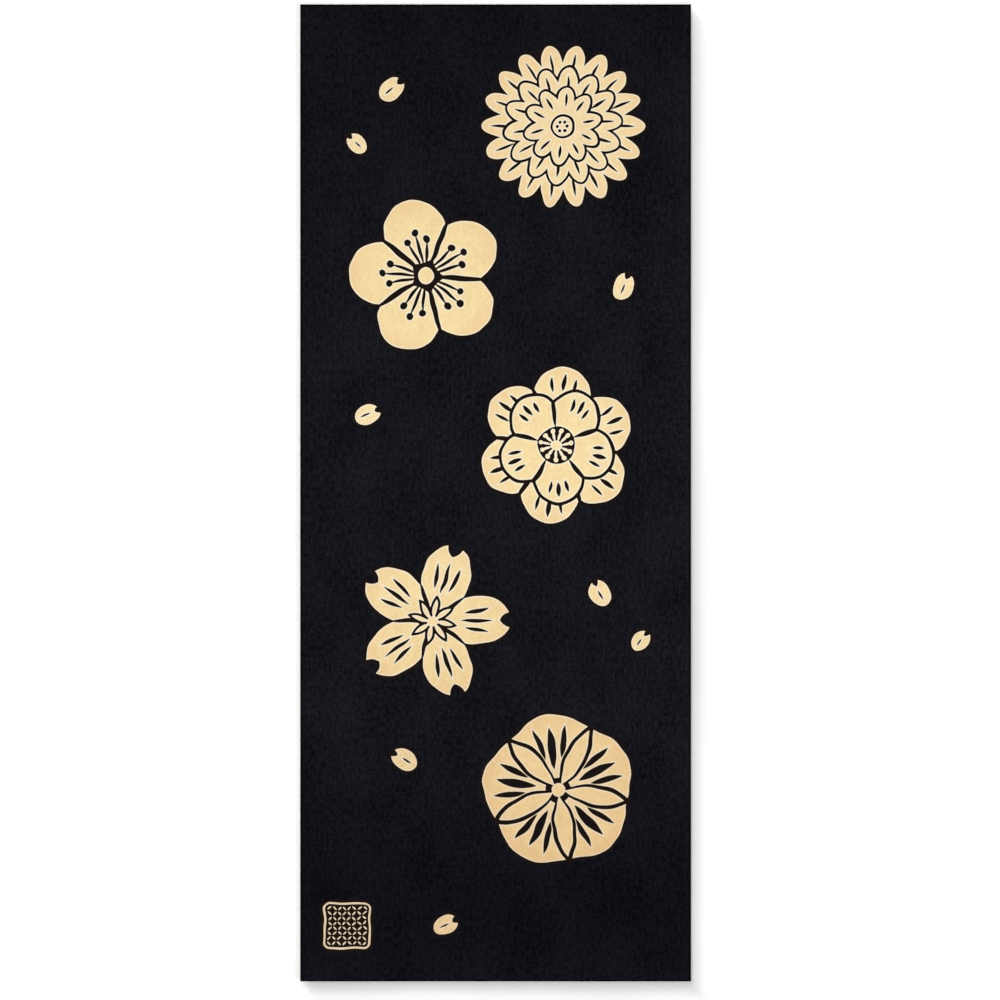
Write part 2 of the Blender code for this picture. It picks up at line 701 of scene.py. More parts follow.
@dataclass(frozen=True)
class OutlineTracer:
    """Finds the closed outlines along which a distance passes nought, on a fine grid of triangles."""

    step: float = 0.5
    slack: float = 0.035

    def crossings(self, values: Field, xs: Field, ys: Field) -> tuple[Field, Field]:
        """Find where the grid's edges cross the outline.

        Args:
            values: The distance at each grid point, row by row.
            xs: The columns' places.
            ys: The rows' places.

        Returns:
            The crossing point on each edge, by edge number, and the pairs of edge numbers that one
            triangle joins.
        """
        inside = values < 0
        rows, columns = values.shape
        numbers = np.arange(rows * columns).reshape(rows, columns)
        points = np.full((3 * rows * columns, 2), np.nan)
        ends = (
            # which way an edge runs from its first point: to the right, up, or slanting
            (slice(None), slice(None, -1), slice(None), slice(1, None)),
            (slice(None, -1), slice(None), slice(1, None), slice(None)),
            (slice(None, -1), slice(None, -1), slice(1, None), slice(1, None)),
        )
        grid_x, grid_y = np.meshgrid(xs, ys)
        for kind, (row_a, column_a, row_b, column_b) in enumerate(ends):
            low, high = values[row_a, column_a], values[row_b, column_b]
            crossed = inside[row_a, column_a] != inside[row_b, column_b]
            share = low[crossed] / (low[crossed] - high[crossed])
            number = numbers[row_a, column_a][crossed] + kind * rows * columns
            for axis, grid in enumerate((grid_x, grid_y)):
                first, last = grid[row_a, column_a][crossed], grid[row_b, column_b][crossed]
                points[number, axis] = first + share * (last - first)
        corner = numbers[:-1, :-1].ravel()
        level, upright, slant = 0, rows * columns, 2 * rows * columns
        lower = np.stack([corner + level, corner + 1 + upright, corner + slant], 1)
        upper = np.stack([corner + slant, corner + columns + level, corner + upright], 1)
        sides = np.concatenate([lower, upper])
        crossed_sides = ~np.isnan(points[sides, 0])
        sides = sides[crossed_sides.sum(1) == 2]
        crossed_sides = ~np.isnan(points[sides, 0])
        return points, sides[crossed_sides].reshape(-1, 2)

    def loops(self, values: Field, xs: Field, ys: Field) -> list[Field]:
        """Chain the crossings into closed outlines.

        Args:
            values: The distance at each grid point, row by row.
            xs: The columns' places.
            ys: The rows' places.

        Returns:
            The points of each outline, in order, thinned out.
        """
        points, pairs = self.crossings(values, xs, ys)
        neighbours: dict[int, list[int]] = {}
        for first, last in pairs.tolist():
            neighbours.setdefault(first, []).append(last)
            neighbours.setdefault(last, []).append(first)
        found = []
        while neighbours:
            here, (after, before) = next(iter(neighbours.items()))
            chain = [here]
            while after != chain[0]:
                chain.append(after)
                here, after = after, sum(neighbours[after]) - here
            for number in chain:
                del neighbours[number]
            found.append(self.thinned(points[chain]))
        return found

    def thinned(self, loop: Field) -> Field:
        """Leave out the points that an outline's shape doesn't need.

        Args:
            loop: The outline's points, in order.

        Returns:
            The points that are kept: none left out lies further than the slack from the new outline.
        """
        kept = np.zeros(len(loop), bool)
        opposite = int(np.hypot(*(loop - loop[0]).T).argmax())
        closed = np.concatenate([loop, loop[:1]])
        stretches = [(0, opposite), (opposite, len(loop))]
        while stretches:
            first, last = stretches.pop()
            kept[first] = True
            if last - first < 2:
                continue
            chord = closed[last] - closed[first]
            offsets = closed[first + 1:last] - closed[first]
            length = max(float(np.hypot(*chord)), TINY)
            away = np.abs(offsets[:, 0] * chord[1] - offsets[:, 1] * chord[0]) / length
            furthest = int(away.argmax())
            if away[furthest] > self.slack:
                middle = first + 1 + furthest
                stretches += [(first, middle), (middle, last)]
        return loop[kept]


@dataclass(frozen=True)
class FlowerDesign:
    """Five flower heads in a zigzag down the cloth, petals adrift between them, and a framed lattice."""

    figures: tuple[Figure, ...] = (
        Chrysanthemum(x=62.0, y=338.0, size=0.99),
        PlumBlossom(x=-64.0, y=200.0, turn=0.25, size=0.99),
        Camellia(x=56.0, y=44.0, turn=0.1, size=0.99),
        CherryBlossom(x=-58.0, y=-118.0, turn=-0.3, size=0.99),
        MorningGlory(x=58.0, y=-274.0, turn=0.15, size=0.99),
        LatticeSquare(x=-137.0, y=-399.0),
        LoosePetal(x=-96.0, y=372.0, turn=0.7),
        LoosePetal(x=-128.0, y=322.0, turn=2.3, size=0.85),
        LoosePetal(x=118.0, y=190.0, turn=1.2),
        LoosePetal(x=-118.0, y=72.0, turn=0.4, size=0.9),
        LoosePetal(x=96.0, y=-92.0, turn=2.0),
        LoosePetal(x=134.0, y=-136.0, turn=0.9, size=0.8),
        LoosePetal(x=-84.0, y=-246.0, turn=2.6, size=0.95),
        LoosePetal(x=-46.0, y=-398.0, turn=0.5, size=0.9),
    )
    tracer: OutlineTracer = OutlineTracer()
    # The room left round a figure that is traced: so many times its hand's stray, and so many of the steps
    room_for_stray: float = 3.0
    room_in_steps: float = 4.0

    def distance(self, x: Field, y: Field) -> Field:
        """Give the distance to the nearest figure's edge, in millimetres."""
        return joined(*(figure.distance(x, y) for figure in self.figures))

    def share_out(self, x: Field, y: Field) -> Field:
        """Give how far out from its figure's middle each point lies, as a share of that figure's reach."""
        return joined(*(figure.share_out(x, y) for figure in self.figures))

    def outlines(self, level: float) -> list[Field]:
        """Trace the lines that lie at one distance from the figures' edges, all in millimetres.

        Args:
            level: The distance: nought for the outlines themselves, and less than that inside them.

        Returns:
            The points of each line, in order.
        """
        found = []
        for figure in self.figures:
            room = self.room_for_stray * figure.hand.stray + self.room_in_steps * self.tracer.step
            reach = figure.reaches() + level + room
            places = np.arange(-reach, reach, self.tracer.step)
            xs, ys = places + figure.x, places + figure.y
            values = figure.distance(*np.meshgrid(xs, ys)) - level
            found += self.tracer.loops(values, xs, ys)
        return found


# The cloth


class Edge(Enum):
    """The cloth's four edges, as seen from its near end."""

    LEFT = "left"
    RIGHT = "right"
    NEAR = "near"
    FAR = "far"


@dataclass(frozen=True)
class EdgeLift:
    """How one edge eases up off the surface that the cloth lies on."""

    edge: Edge
    mean: float
    sway: float
    waves: float
    start: float


@dataclass(frozen=True)
class Lie:
    """How the cloth lies: flat in its middle, easing up towards its edges, and hardly uneven all over."""

    width: float
    length: float
    reach: float = 0.034
    ripple_share: float = 0.35
    ripples_per_wave: float = 2.7
    lifts: tuple[EdgeLift, ...] = (
        EdgeLift(Edge.LEFT, mean=0.0005, sway=0.0002, waves=2.3, start=0.15),
        EdgeLift(Edge.RIGHT, mean=0.0013, sway=0.00025, waves=1.9, start=0.55),
        EdgeLift(Edge.NEAR, mean=0.0014, sway=0.00025, waves=1.2, start=0.30),
        EdgeLift(Edge.FAR, mean=0.0006, sway=0.0002, waves=1.4, start=0.80),
    )
    corner_blend: int = 3
    unevenness: float = 0.00012
    swell_lengths: tuple[float, float] = (0.020, 0.075)
    swells: int = 9
    seed: int = 11

    def inset(self, edge: Edge, x: Field, y: Field) -> tuple[Field, Field]:
        """Measure points from one edge.

        Args:
            edge: The edge.
            x: Places across the cloth.
            y: Places along it.

        Returns:
            How far in from the edge each point lies, and how far along it as a share of its length.
        """
        across, along = x / self.width + 0.5, y / self.length + 0.5
        return {
            Edge.LEFT: (x + self.width / 2, along),
            Edge.RIGHT: (self.width / 2 - x, along),
            Edge.NEAR: (y + self.length / 2, across),
            Edge.FAR: (self.length / 2 - y, across),
        }[edge]

    def edge_lift(self, x: Field, y: Field) -> Field:
        """Give how far the edges have lifted each point. At a corner its two lifting edges run together.

        Args:
            x: Places across the cloth.
            y: Places along it.

        Returns:
            The lift, in metres.
        """
        total = np.zeros_like(x)
        for lift in self.lifts:
            inset, along = self.inset(lift.edge, x, y)
            turn = FULL_TURN * (lift.waves * along + lift.start)
            ripple = self.ripple_share * np.sin(self.ripples_per_wave * turn)
            wave = (1 - self.ripple_share) * np.sin(turn) + ripple
            ease = np.clip(1 - inset / self.reach, 0, 1) ** 2
            total += ((lift.mean + lift.sway * wave) * ease) ** self.corner_blend
        return total ** (1 / self.corner_blend)

    def swell(self, x: Field, y: Field) -> Field:
        """Give the height of the slack in the cloth, which hardly shows: low swells that run every way.

        Args:
            x: Places across the cloth.
            y: Places along it.

        Returns:
            The height, in metres.
        """
        chance = np.random.default_rng(self.seed)
        total = sum(slow_waves(x, y, self.swells, self.swell_lengths, chance))
        return self.unevenness * (1 + total / self.swells) / 2

    def height(self, x: Field, y: Field) -> Field:
        """Give the height of the cloth's underside above the surface."""
        return self.edge_lift(x, y) + self.swell(x, y)


class Measure(Enum):
    """What the cloth's mesh tells its finishes at each point."""

    # How far out from its figure's middle the point lies, as a share of the figure's reach
    SHARE_OUT = "share_out"
    # How far in from the cloth's edge it lies, and how far from the nearest outline, in millimetres
    INSET = "inset"
    TO_OUTLINE = "to_outline"


@dataclass
class ClothSheet:
    """The cut length of cloth: a thin closed sheet with its two faces, its selvedges and its soft edge."""

    width: float
    length: float
    lie: Lie
    design: FlowerDesign
    thickness: float = 0.00045
    selvedge_width: float = 0.0040
    selvedge_thickness: float = 0.00062
    selvedge_step: float = 0.0008
    edge_rounding: float = 0.0002
    # The rows round the rounded edge, as angles up from level, in degrees
    edge_bends: tuple[float, ...] = (45.0, 0.0, -45.0)
    row_spacing: float = 0.0055
    edge_rows: tuple[float, ...] = (
        0.0, 0.0014, 0.0032, 0.0040, 0.0065, 0.0100, 0.0145, 0.0200, 0.0265, 0.0340
    )
    # In millimetres: the mesh has lines at these distances from the figures' edges, so that what the
    # finishes draw along an outline keeps an even width, and its rows keep this clear of those lines
    levels: tuple[float, ...] = (-1.6, 0.0, 2.6)
    clear_of_lines: float = 1.1
    # In metres: points closer than this are one point, and points this close to the border are on it
    same_point: float = 1e-7
    same_border: float = 1e-6
    # The coordinate map's unit square: the margin between its parts, and the front's and the back's widths
    map_margin: float = 0.012
    front_share: float = 0.60
    back_share: float = 0.32
    name: str = "woven_cloth"
    object: bpy.types.Object | None = field(default=None, init=False)

    def rows(self, extent: float) -> Field:
        """Place the mesh's rows across one side of the cloth: close near the edges, even in the middle.

        Args:
            extent: The side's full length.

        Returns:
            The rows' places, from edge to edge.
        """
        half = extent / 2 - self.edge_rounding
        rim = np.array(self.edge_rows)
        bays = round(2 * (half - rim[-1]) / self.row_spacing)
        middle = np.linspace(rim[-1] - half, half - rim[-1], bays + 1)
        return np.concatenate([rim[:-1] - half, middle, half - rim[-2::-1]])

    def plan(self) -> tuple[Field, Field]:
        """Divide the cloth's flat shape into triangles that follow the figures' outlines.

        Returns:
            The points' places on the cloth in metres, and the triangles' corners, all running one way round.
        """
        xs, ys = (part.ravel() for part in np.meshgrid(self.rows(self.width), self.rows(self.length)))
        away = self.design.distance(xs / MM, ys / MM)
        room = np.min([np.abs(away - level) for level in self.levels], 0) > self.clear_of_lines
        on_rim = self.on_border(xs, ys)
        points = [np.stack([xs, ys], 1)[room | on_rim]]
        edges = []
        count = len(points[0])
        for line in (line for level in self.levels for line in self.design.outlines(level)):
            numbers = np.arange(len(line)) + count
            edges.append(np.stack([numbers, np.roll(numbers, -1)], 1))
            points.append(line * MM)
            count += len(line)
        placed = [Vector(point) for point in np.concatenate(points).tolist()]
        joins = np.concatenate(edges).tolist()
        filled_hull = 0
        found = delaunay_2d_cdt(placed, joins, [], filled_hull, self.same_point, False)
        flat = np.array([point[:] for point in found[0]])
        faces = np.array(found[2])
        first, second, third = (flat[faces[:, corner]] for corner in range(3))
        ahead, aside = second - first, third - first
        backwards = ahead[:, 0] * aside[:, 1] < ahead[:, 1] * aside[:, 0]
        faces[backwards] = faces[backwards][:, ::-1]
        return flat, faces

    def on_border(self, x: Field, y: Field) -> Field:
        """Tell which points lie on the border of the flat part, inside the rounded edge.

        Args:
            x: Places across the cloth.
            y: Places along it.

        Returns:
            True for each point on the border.
        """
        half_width = self.width / 2 - self.edge_rounding - self.same_border
        half_length = self.length / 2 - self.edge_rounding - self.same_border
        return (np.abs(x) > half_width) | (np.abs(y) > half_length)

    def half_thickness(self, x: Field) -> Field:
        """Give half the cloth's thickness at places across its width: the selvedges are thicker.

        Args:
            x: The places.

        Returns:
            Half the thickness at each.
        """
        inset = self.width / 2 - np.abs(x)
        share = np.clip((self.selvedge_width - inset) / self.selvedge_step, 0, 1)
        return (self.thickness + share * (self.selvedge_thickness - self.thickness)) / 2

    def border_ring(self, flat: Field) -> tuple[Field, Field]:
        """Put the border's points in order round the cloth.

        Args:
            flat: All the points' places on the cloth.

        Returns:
            The numbers of the border's points, in order, and the way out from the cloth at each.
        """
        numbers = np.flatnonzero(self.on_border(flat[:, 0], flat[:, 1]))
        x, y = flat[numbers].T
        order = np.argsort(np.arctan2(2 * y / self.length, 2 * x / self.width))
        numbers, x, y = numbers[order], x[order], y[order]
        side = self.width / 2 - self.edge_rounding - self.same_border
        end = self.length / 2 - self.edge_rounding - self.same_border
        outward = np.stack([
            np.where(np.abs(x) > side, np.sign(x), 0),
            np.where(np.abs(y) > end, np.sign(y), 0),
        ], 1)
        return numbers, outward

    def build(self) -> bpy.types.Object:
        """Build the sheet: its two faces, and between them the rounded edge.

        Returns:
            The cloth, with a coordinate map, and with the measures that the finishes need at each point.
        """
        flat, triangles = self.plan()
        x, y = flat.T
        half = self.half_thickness(x)
        middle = self.lie.height(x, y) + half
        front = np.stack([x, y, middle + half], 1)
        back = np.stack([x, y, middle - half], 1)
        ring, outward = self.border_ring(flat)
        bends = [math.radians(angle) for angle in self.edge_bends]
        strips = [
            np.stack([
                x[ring] + outward[:, 0] * self.edge_rounding * math.cos(bend),
                y[ring] + outward[:, 1] * self.edge_rounding * math.cos(bend),
                middle[ring] + half[ring] * math.sin(bend),
            ], 1)
            for bend in bends
        ]
        count = len(flat)
        places = np.concatenate([front, back, *strips])
        starts = [2 * count + len(ring) * strip for strip in range(len(bends))]
        loops = [ring, *(start + np.arange(len(ring)) for start in starts), ring + count]
        quads = [
            np.stack([upper, lower, np.roll(lower, -1), np.roll(upper, -1)], 1)
            for upper, lower in zip(loops, loops[1:])
        ]
        faces = triangles.tolist() + (triangles[:, ::-1] + count).tolist() + np.concatenate(quads).tolist()
        mesh = bpy.data.meshes.new(self.name)
        mesh.from_pydata(places.tolist(), [], faces)
        self.map_mesh(mesh, triangles, x, y, len(ring), len(bends) + 1)
        middles = flat[triangles].mean(1) / MM
        pale = self.design.distance(middles[:, 0], middles[:, 1]) < 0
        slots = np.concatenate([pale, pale, np.zeros(len(faces) - 2 * len(pale), bool)])
        mesh.polygons.foreach_set("material_index", slots.astype(np.int32))
        for measure, values in self.measures(places[:, 0], places[:, 1]).items():
            layer = mesh.attributes.new(measure.value, "FLOAT", "POINT")
            layer.data.foreach_set("value", values.astype(np.float32))
        mesh.shade_smooth()
        mesh.validate()
        self.object = add_object(self.name, mesh)
        return self.object

    def measures(self, x: Field, y: Field) -> dict[Measure, Field]:
        """Measure points for the finishes.

        Args:
            x: Their places across the cloth, in metres.
            y: Their places along it.

        Returns:
            Each measure of every point.
        """
        inset = np.minimum(self.width / 2 - np.abs(x), self.length / 2 - np.abs(y))
        return {
            Measure.SHARE_OUT: self.design.share_out(x / MM, y / MM),
            Measure.INSET: inset / MM,
            Measure.TO_OUTLINE: np.abs(self.design.distance(x / MM, y / MM)),
        }

    def map_mesh(
        self, mesh: bpy.types.Mesh, triangles: Field, x: Field, y: Field, ring: int, strips: int
    ) -> None:
        """Lay the sheet out flat in a square: the front, the back beside it, and the edge as a strip.

        Args:
            mesh: The sheet's mesh.
            triangles: The corners of one face's triangles.
            x: The flat points' places across the cloth.
            y: Their places along it.
            ring: How many points the border has.
            strips: How many strips of faces go round the edge.
        """
        tall = 1 - 2 * self.map_margin
        up = self.map_margin + tall * (y / self.length + 0.5)
        front = np.stack([self.map_margin + self.front_share * (x / self.width + 0.5), up], 1)
        back_start = 2 * self.map_margin + self.front_share
        back = np.stack([back_start + self.back_share * (x / self.width + 0.5), up], 1)
        strip_start = back_start + self.back_share + self.map_margin
        strip_width = (1 - self.map_margin / 2 - strip_start) / strips
        places = np.arange(ring)
        edge = []
        for strip in range(strips):
            left, right = strip_start + strip * strip_width, strip_start + (strip + 1) * strip_width
            low = self.map_margin + tall * places / ring
            high = self.map_margin + tall * (places + 1) / ring
            corners = [(left, low), (right, low), (right, high), (left, high)]
            edge.append(np.stack([np.stack(np.broadcast_arrays(u, v), 1) for u, v in corners], 1))
        layer = mesh.uv_layers.new(name="OFBake")
        corners = np.concatenate([
            front[triangles].reshape(-1, 2),
            back[triangles[:, ::-1]].reshape(-1, 2),
            np.concatenate(edge).reshape(-1, 2),
        ])
        layer.uv.foreach_set("vector", corners.astype(np.float32).ravel())

    def dress(self, ground: "DyedCotton", figures: "PaleCotton") -> None:
        """Give the ground and the figures their finishes."""
        self.object.data.materials.append(ground.material())
        self.object.data.materials.append(figures.material())


@dataclass
class YarnEnds:
    """The cut ends of the warp: short yarn tips that stand out from the two cut ends."""

    width: float
    length: float
    lie: Lie
    thickness: float
    pitch: float = 0.00045
    shortest: float = 0.00005
    longest: float = 0.00035
    root: float = 0.0004
    radius: float = 0.00013
    tip_radius: float = 0.00005
    sides: int = 3
    side_margin: float = 0.0004
    # How far an end may lie out of line, as a share of the pitch, and how far it strays, as one of its reach
    jitter: float = 0.2
    stray: float = 0.45
    # How much of its reach and of its stray aside an end has by its bend, and how much it rises and droops
    bend_out: float = 0.5
    bend_aside: float = 0.3
    rise: float = 0.25
    droop: float = 0.3
    seed: int = 23
    name: str = "cut_yarn_ends"
    object: bpy.types.Object | None = field(default=None, init=False)

    def spines(self) -> Field:
        """Place each yarn end's root, bend and tip.

        Returns:
            Three points for each yarn end, in metres.
        """
        chance = np.random.default_rng(self.seed)
        outermost = self.width / 2 - self.side_margin
        across = np.arange(-outermost, outermost, self.pitch)
        found = []
        for way in (-1, 1):
            count = len(across)
            x = across + chance.uniform(-self.jitter, self.jitter, count) * self.pitch
            reach = self.shortest + (self.longest - self.shortest) * chance.random(count) ** 2
            edge = np.full(count, way * self.length / 2)
            height = self.lie.height(x, edge) + self.thickness / 2
            root = np.stack([x, edge - way * self.root, height], 1)
            lean = chance.normal(0, self.stray, (2, count)) * reach
            out = way * (self.root + self.bend_out * reach)
            bend = root + np.stack([self.bend_aside * lean[0], out, self.rise * np.abs(lean[1])], 1)
            out = way * (1 - self.bend_out) * reach
            tip = bend + np.stack([(1 - self.bend_aside) * lean[0], out, -self.droop * lean[1]], 1)
            found.append(np.stack([root, bend, tip], 1))
        return np.concatenate(found)

    def build(self) -> bpy.types.Object:
        """Build every yarn end as a thin tapered prism, joined in one mesh.

        Returns:
            The yarn ends.
        """
        spines = self.spines()
        count, stations = spines.shape[:2]
        radii = np.array([self.radius, self.radius, self.tip_radius])
        angles = np.arange(self.sides) * FULL_TURN / self.sides
        ring = np.stack([np.cos(angles), np.zeros(self.sides), np.sin(angles)], 1)
        places = spines[:, :, None, :] + radii[None, :, None, None] * ring
        places[..., 2] = np.maximum(places[..., 2], 0.0)
        per_end = stations * self.sides
        faces = []
        for number in range(count):
            start = number * per_end
            rings = [
                [start + station * self.sides + side for side in range(self.sides)]
                for station in range(stations)
            ]
            for lower, upper in zip(rings, rings[1:]):
                for side in range(self.sides):
                    after = (side + 1) % self.sides
                    faces.append((lower[side], upper[side], upper[after], lower[after]))
            faces.append(tuple(rings[0]))
            faces.append(tuple(reversed(rings[-1])))
        mesh = bpy.data.meshes.new(self.name)
        mesh.from_pydata(places.reshape(-1, 3).tolist(), [], faces)
        mesh.shade_smooth()
        self.object = add_object(self.name, mesh)
        return self.object

    def dress(self, finish: "DyedCotton") -> None:
        """Give the yarn ends the ground's finish."""
        self.object.data.materials.append(finish.material())


# The finishes


@dataclass(frozen=True)
class PlainWeave:
    """One-over, one-under weave of single cotton yarns, which are uneven, so that they fleck the cloth."""

    # All sizes are in millimetres
    yarn_pitch: float = 0.42
    # The real pitch is too fine to show where the whole cloth is seen, so the weave is drawn three times
    # as coarse
    drawn_coarser: float = 3.0
    # The thick and thin places in the warp's yarns and in the weft's: their size across and along the cloth
    warp_slub: tuple[float, float] = (2.4, 5.4)
    weft_slub: tuple[float, float] = (4.4, 2.0)
    weft_share: float = 0.36
    slub_detail: float = 1.0
    # How many times as high as the crossings they stand
    slub_height: float = 10.0
    streak_width: float = 1.6
    streak_length: float = 38.0
    streak_detail: float = 2.0
    patch_roughness: float = 0.55

    def steps(self, tree: bpy.types.NodeTree, across: float, along: float) -> bpy.types.NodeSocket:
        """Measure the cloth in steps of a real size.

        Args:
            tree: The material's nodes.
            across: The size of a step across the cloth, in millimetres.
            along: Its size along the cloth, in millimetres.

        Returns:
            The place on the cloth, in those steps.
        """
        place = add_node(tree, "ShaderNodeTexCoord", {})
        inputs = {0: place.outputs["Object"], 1: (1 / (across * MM), 1 / (along * MM), 0.0)}
        return add_node(tree, "ShaderNodeVectorMath", inputs, operation="MULTIPLY").outputs[0]

    def patches(
        self, tree: bpy.types.NodeTree, across: float, along: float, detail: float
    ) -> bpy.types.NodeSocket:
        """Draw soft uneven patches of a real size, from nought to one.

        Args:
            tree: The material's nodes.
            across: A patch's size across the cloth, in millimetres.
            along: Its size along the cloth, in millimetres.
            detail: How many finer layers of unevenness there are in each patch.

        Returns:
            The patches' strength.
        """
        place = self.steps(tree, across, along)
        inputs = {"Vector": place, "Scale": 1.0, "Detail": detail, "Roughness": self.patch_roughness}
        return add_node(tree, "ShaderNodeTexNoise", inputs).outputs["Fac"]

    def slubs(self, tree: bpy.types.NodeTree) -> bpy.types.NodeSocket:
        """Draw the thick and thin places in the yarns: short streaks along the warp, fainter across it.

        Args:
            tree: The material's nodes.

        Returns:
            The slubs' strength, from nought to one.
        """
        warp = self.patches(tree, *self.warp_slub, self.slub_detail)
        weft = self.patches(tree, *self.weft_slub, self.slub_detail)
        # This node takes two plain numbers at its places 2 and 3
        inputs = {0: self.weft_share, 2: warp, 3: weft}
        return add_node(tree, "ShaderNodeMix", inputs, data_type="FLOAT").outputs[0]

    def streaks(self, tree: bpy.types.NodeTree) -> bpy.types.NodeSocket:
        """Draw the warp yarns that are darker or paler than their neighbours over a long way."""
        return self.patches(tree, self.streak_width, self.streak_length, self.streak_detail)

    def crossings(self, tree: bpy.types.NodeTree) -> bpy.types.NodeSocket:
        """Draw the weave's own relief: each yarn stands up where it passes over another.

        Args:
            tree: The material's nodes.

        Returns:
            The relief's height, from -1 to 1.
        """
        half_turn = self.yarn_pitch * self.drawn_coarser / math.pi
        waves = add_node(
            tree, "ShaderNodeVectorMath", {0: self.steps(tree, half_turn, half_turn)}, operation="SINE"
        )
        parts = add_node(tree, "ShaderNodeSeparateXYZ", {0: waves.outputs[0]})
        inputs = {0: parts.outputs[0], 1: parts.outputs[1]}
        return add_node(tree, "ShaderNodeMath", inputs, operation="MULTIPLY").outputs[0]

    def relief(self, tree: bpy.types.NodeTree, depth: float) -> bpy.types.NodeSocket:
        """Turn the weave and its slubs into a surface normal.

        Args:
            tree: The material's nodes.
            depth: How high the crossings stand, in millimetres.

        Returns:
            The normal.
        """
        inputs = {0: self.slubs(tree), 1: self.slub_height, 2: self.crossings(tree)}
        height = add_node(tree, "ShaderNodeMath", inputs, operation="MULTIPLY_ADD")
        inputs = {"Strength": 1.0, "Distance": depth * MM, "Height": height.outputs[0]}
        return add_node(tree, "ShaderNodeBump", inputs).outputs["Normal"]

    def towards(self, tree: bpy.types.NodeTree, start: float, end: float) -> bpy.types.NodeSocket:
        """Rise softly from nought to one between two places along the cloth's length.

        Args:
            tree: The material's nodes.
            start: Where it is nought, in millimetres from the cloth's middle.
            end: Where it is one.

        Returns:
            The share, from nought to one.
        """
        place = add_node(tree, "ShaderNodeTexCoord", {})
        parts = add_node(tree, "ShaderNodeSeparateXYZ", {0: place.outputs["Object"]})
        inputs = {"Value": parts.outputs["Y"], "From Min": start * MM, "From Max": end * MM}
        return add_node(tree, "ShaderNodeMapRange", inputs, interpolation_type="SMOOTHSTEP").outputs[0]


class Blend(Enum):
    """How a tint goes over the colour under it."""

    COVER = "MIX"
    DEEPEN = "MULTIPLY"


@dataclass(frozen=True)
class Tint:
    """A tint over part of the cloth: how much of it goes on at each point, its hex colour, and how."""

    share: bpy.types.NodeSocket
    colour: str
    blend: Blend = Blend.COVER


@dataclass(frozen=True)
class CottonFinish(ABC):
    """What every finish of this cloth shares: the weave's relief, and cotton fibre's soft matt surface."""

    # The colours at the low and at the high end of the grain's range
    low_colour: str
    high_colour: str
    grain_range: tuple[float, float]
    # The slow unevenness: how wide and how long its patches are, and how many finer layers they have
    mottle: tuple[float, float, float]
    # The painted shade that darkens the colour towards the cloth's two ends, and the places along it between
    # which that comes in, in millimetres from its middle
    near_painted_shade: str
    near_end: tuple[float, float]
    far_painted_shade: str
    far_end: tuple[float, float]
    weave: PlainWeave = PlainWeave()
    relief_depth: float = 0.012
    roughness: float = 0.92
    specular: float = 0.25
    # The faint pale bloom of loose fibres, seen at a low angle
    bloom: float = 0.06
    bloom_roughness: float = 0.5
    bloom_tint: str = "#FFF3DC"
    name: str = "Plain-woven cotton"

    @abstractmethod
    def grain(self, tree: bpy.types.NodeTree) -> bpy.types.NodeSocket:
        """Draw the grain: how the yarns and the dye change the colour from place to place."""

    @abstractmethod
    def tints(self, tree: bpy.types.NodeTree) -> Iterator[Tint]:
        """Say what tints the cloth has over its grain, in their order."""

    def painted_end_shade(self, tree: bpy.types.NodeTree) -> Iterator[Tint]:
        """Paint shade softly over the colour towards the cloth's near and far ends."""
        # Painted shade: each end's colour is multiplied a little darker
        for shade, stretch in ((self.near_painted_shade, self.near_end), (self.far_painted_shade, self.far_end)):
            yield Tint(self.weave.towards(tree, *stretch), shade, Blend.DEEPEN)

    def colour(self, tree: bpy.types.NodeTree) -> bpy.types.NodeSocket:
        """Colour the grain, and lay each tint over it in turn.

        Args:
            tree: The material's nodes.

        Returns:
            The cloth's colour.
        """
        low, high = self.grain_range
        inputs = {"Value": self.grain(tree), "From Min": low, "From Max": high}
        grain = Tint(add_node(tree, "ShaderNodeMapRange", inputs).outputs[0], self.high_colour)
        colour: Any = linear_colour(self.low_colour)
        for tint in (grain, *self.tints(tree)):
            # This node takes two colours at its places 6 and 7, and gives the mixed colour at its place 2
            inputs = {0: tint.share, 6: colour, 7: linear_colour(tint.colour)}
            way = tint.blend.value
            colour = add_node(tree, "ShaderNodeMix", inputs, data_type="RGBA", blend_type=way).outputs[2]
        return colour

    def between(
        self, tree: bpy.types.NodeTree, measure: Measure, start: float, end: float, most: float
    ) -> bpy.types.NodeSocket:
        """Rise softly with one of the measures that the cloth's mesh holds.

        Args:
            tree: The material's nodes.
            measure: The measure.
            start: Where it is nought, in the measure's own unit.
            end: Where it is at its most.
            most: The most that it comes to.

        Returns:
            The share, from nought to the most.
        """
        found = add_node(tree, "ShaderNodeAttribute", {}, attribute_name=measure.value)
        inputs = {"Value": found.outputs["Fac"], "From Min": start, "From Max": end, "To Max": most}
        return add_node(tree, "ShaderNodeMapRange", inputs, interpolation_type="SMOOTHSTEP").outputs[0]

    def material(self) -> bpy.types.Material:
        """Make the finish, or return it where it is made already.

        Returns:
            The material.
        """
        made = bpy.data.materials.get(self.name)
        if made:
            return made
        material = bpy.data.materials.new(self.name)
        material.use_nodes = True
        tree = material.node_tree
        surface = tree.nodes["Principled BSDF"]
        tree.links.new(self.colour(tree), surface.inputs["Base Color"])
        tree.links.new(self.weave.relief(tree, self.relief_depth), surface.inputs["Normal"])
        surface.inputs["Roughness"].default_value = self.roughness
        surface.inputs["Specular IOR Level"].default_value = self.specular
        surface.inputs["Sheen Weight"].default_value = self.bloom
        surface.inputs["Sheen Roughness"].default_value = self.bloom_roughness
        surface.inputs["Sheen Tint"].default_value = linear_colour(self.bloom_tint)
        return material


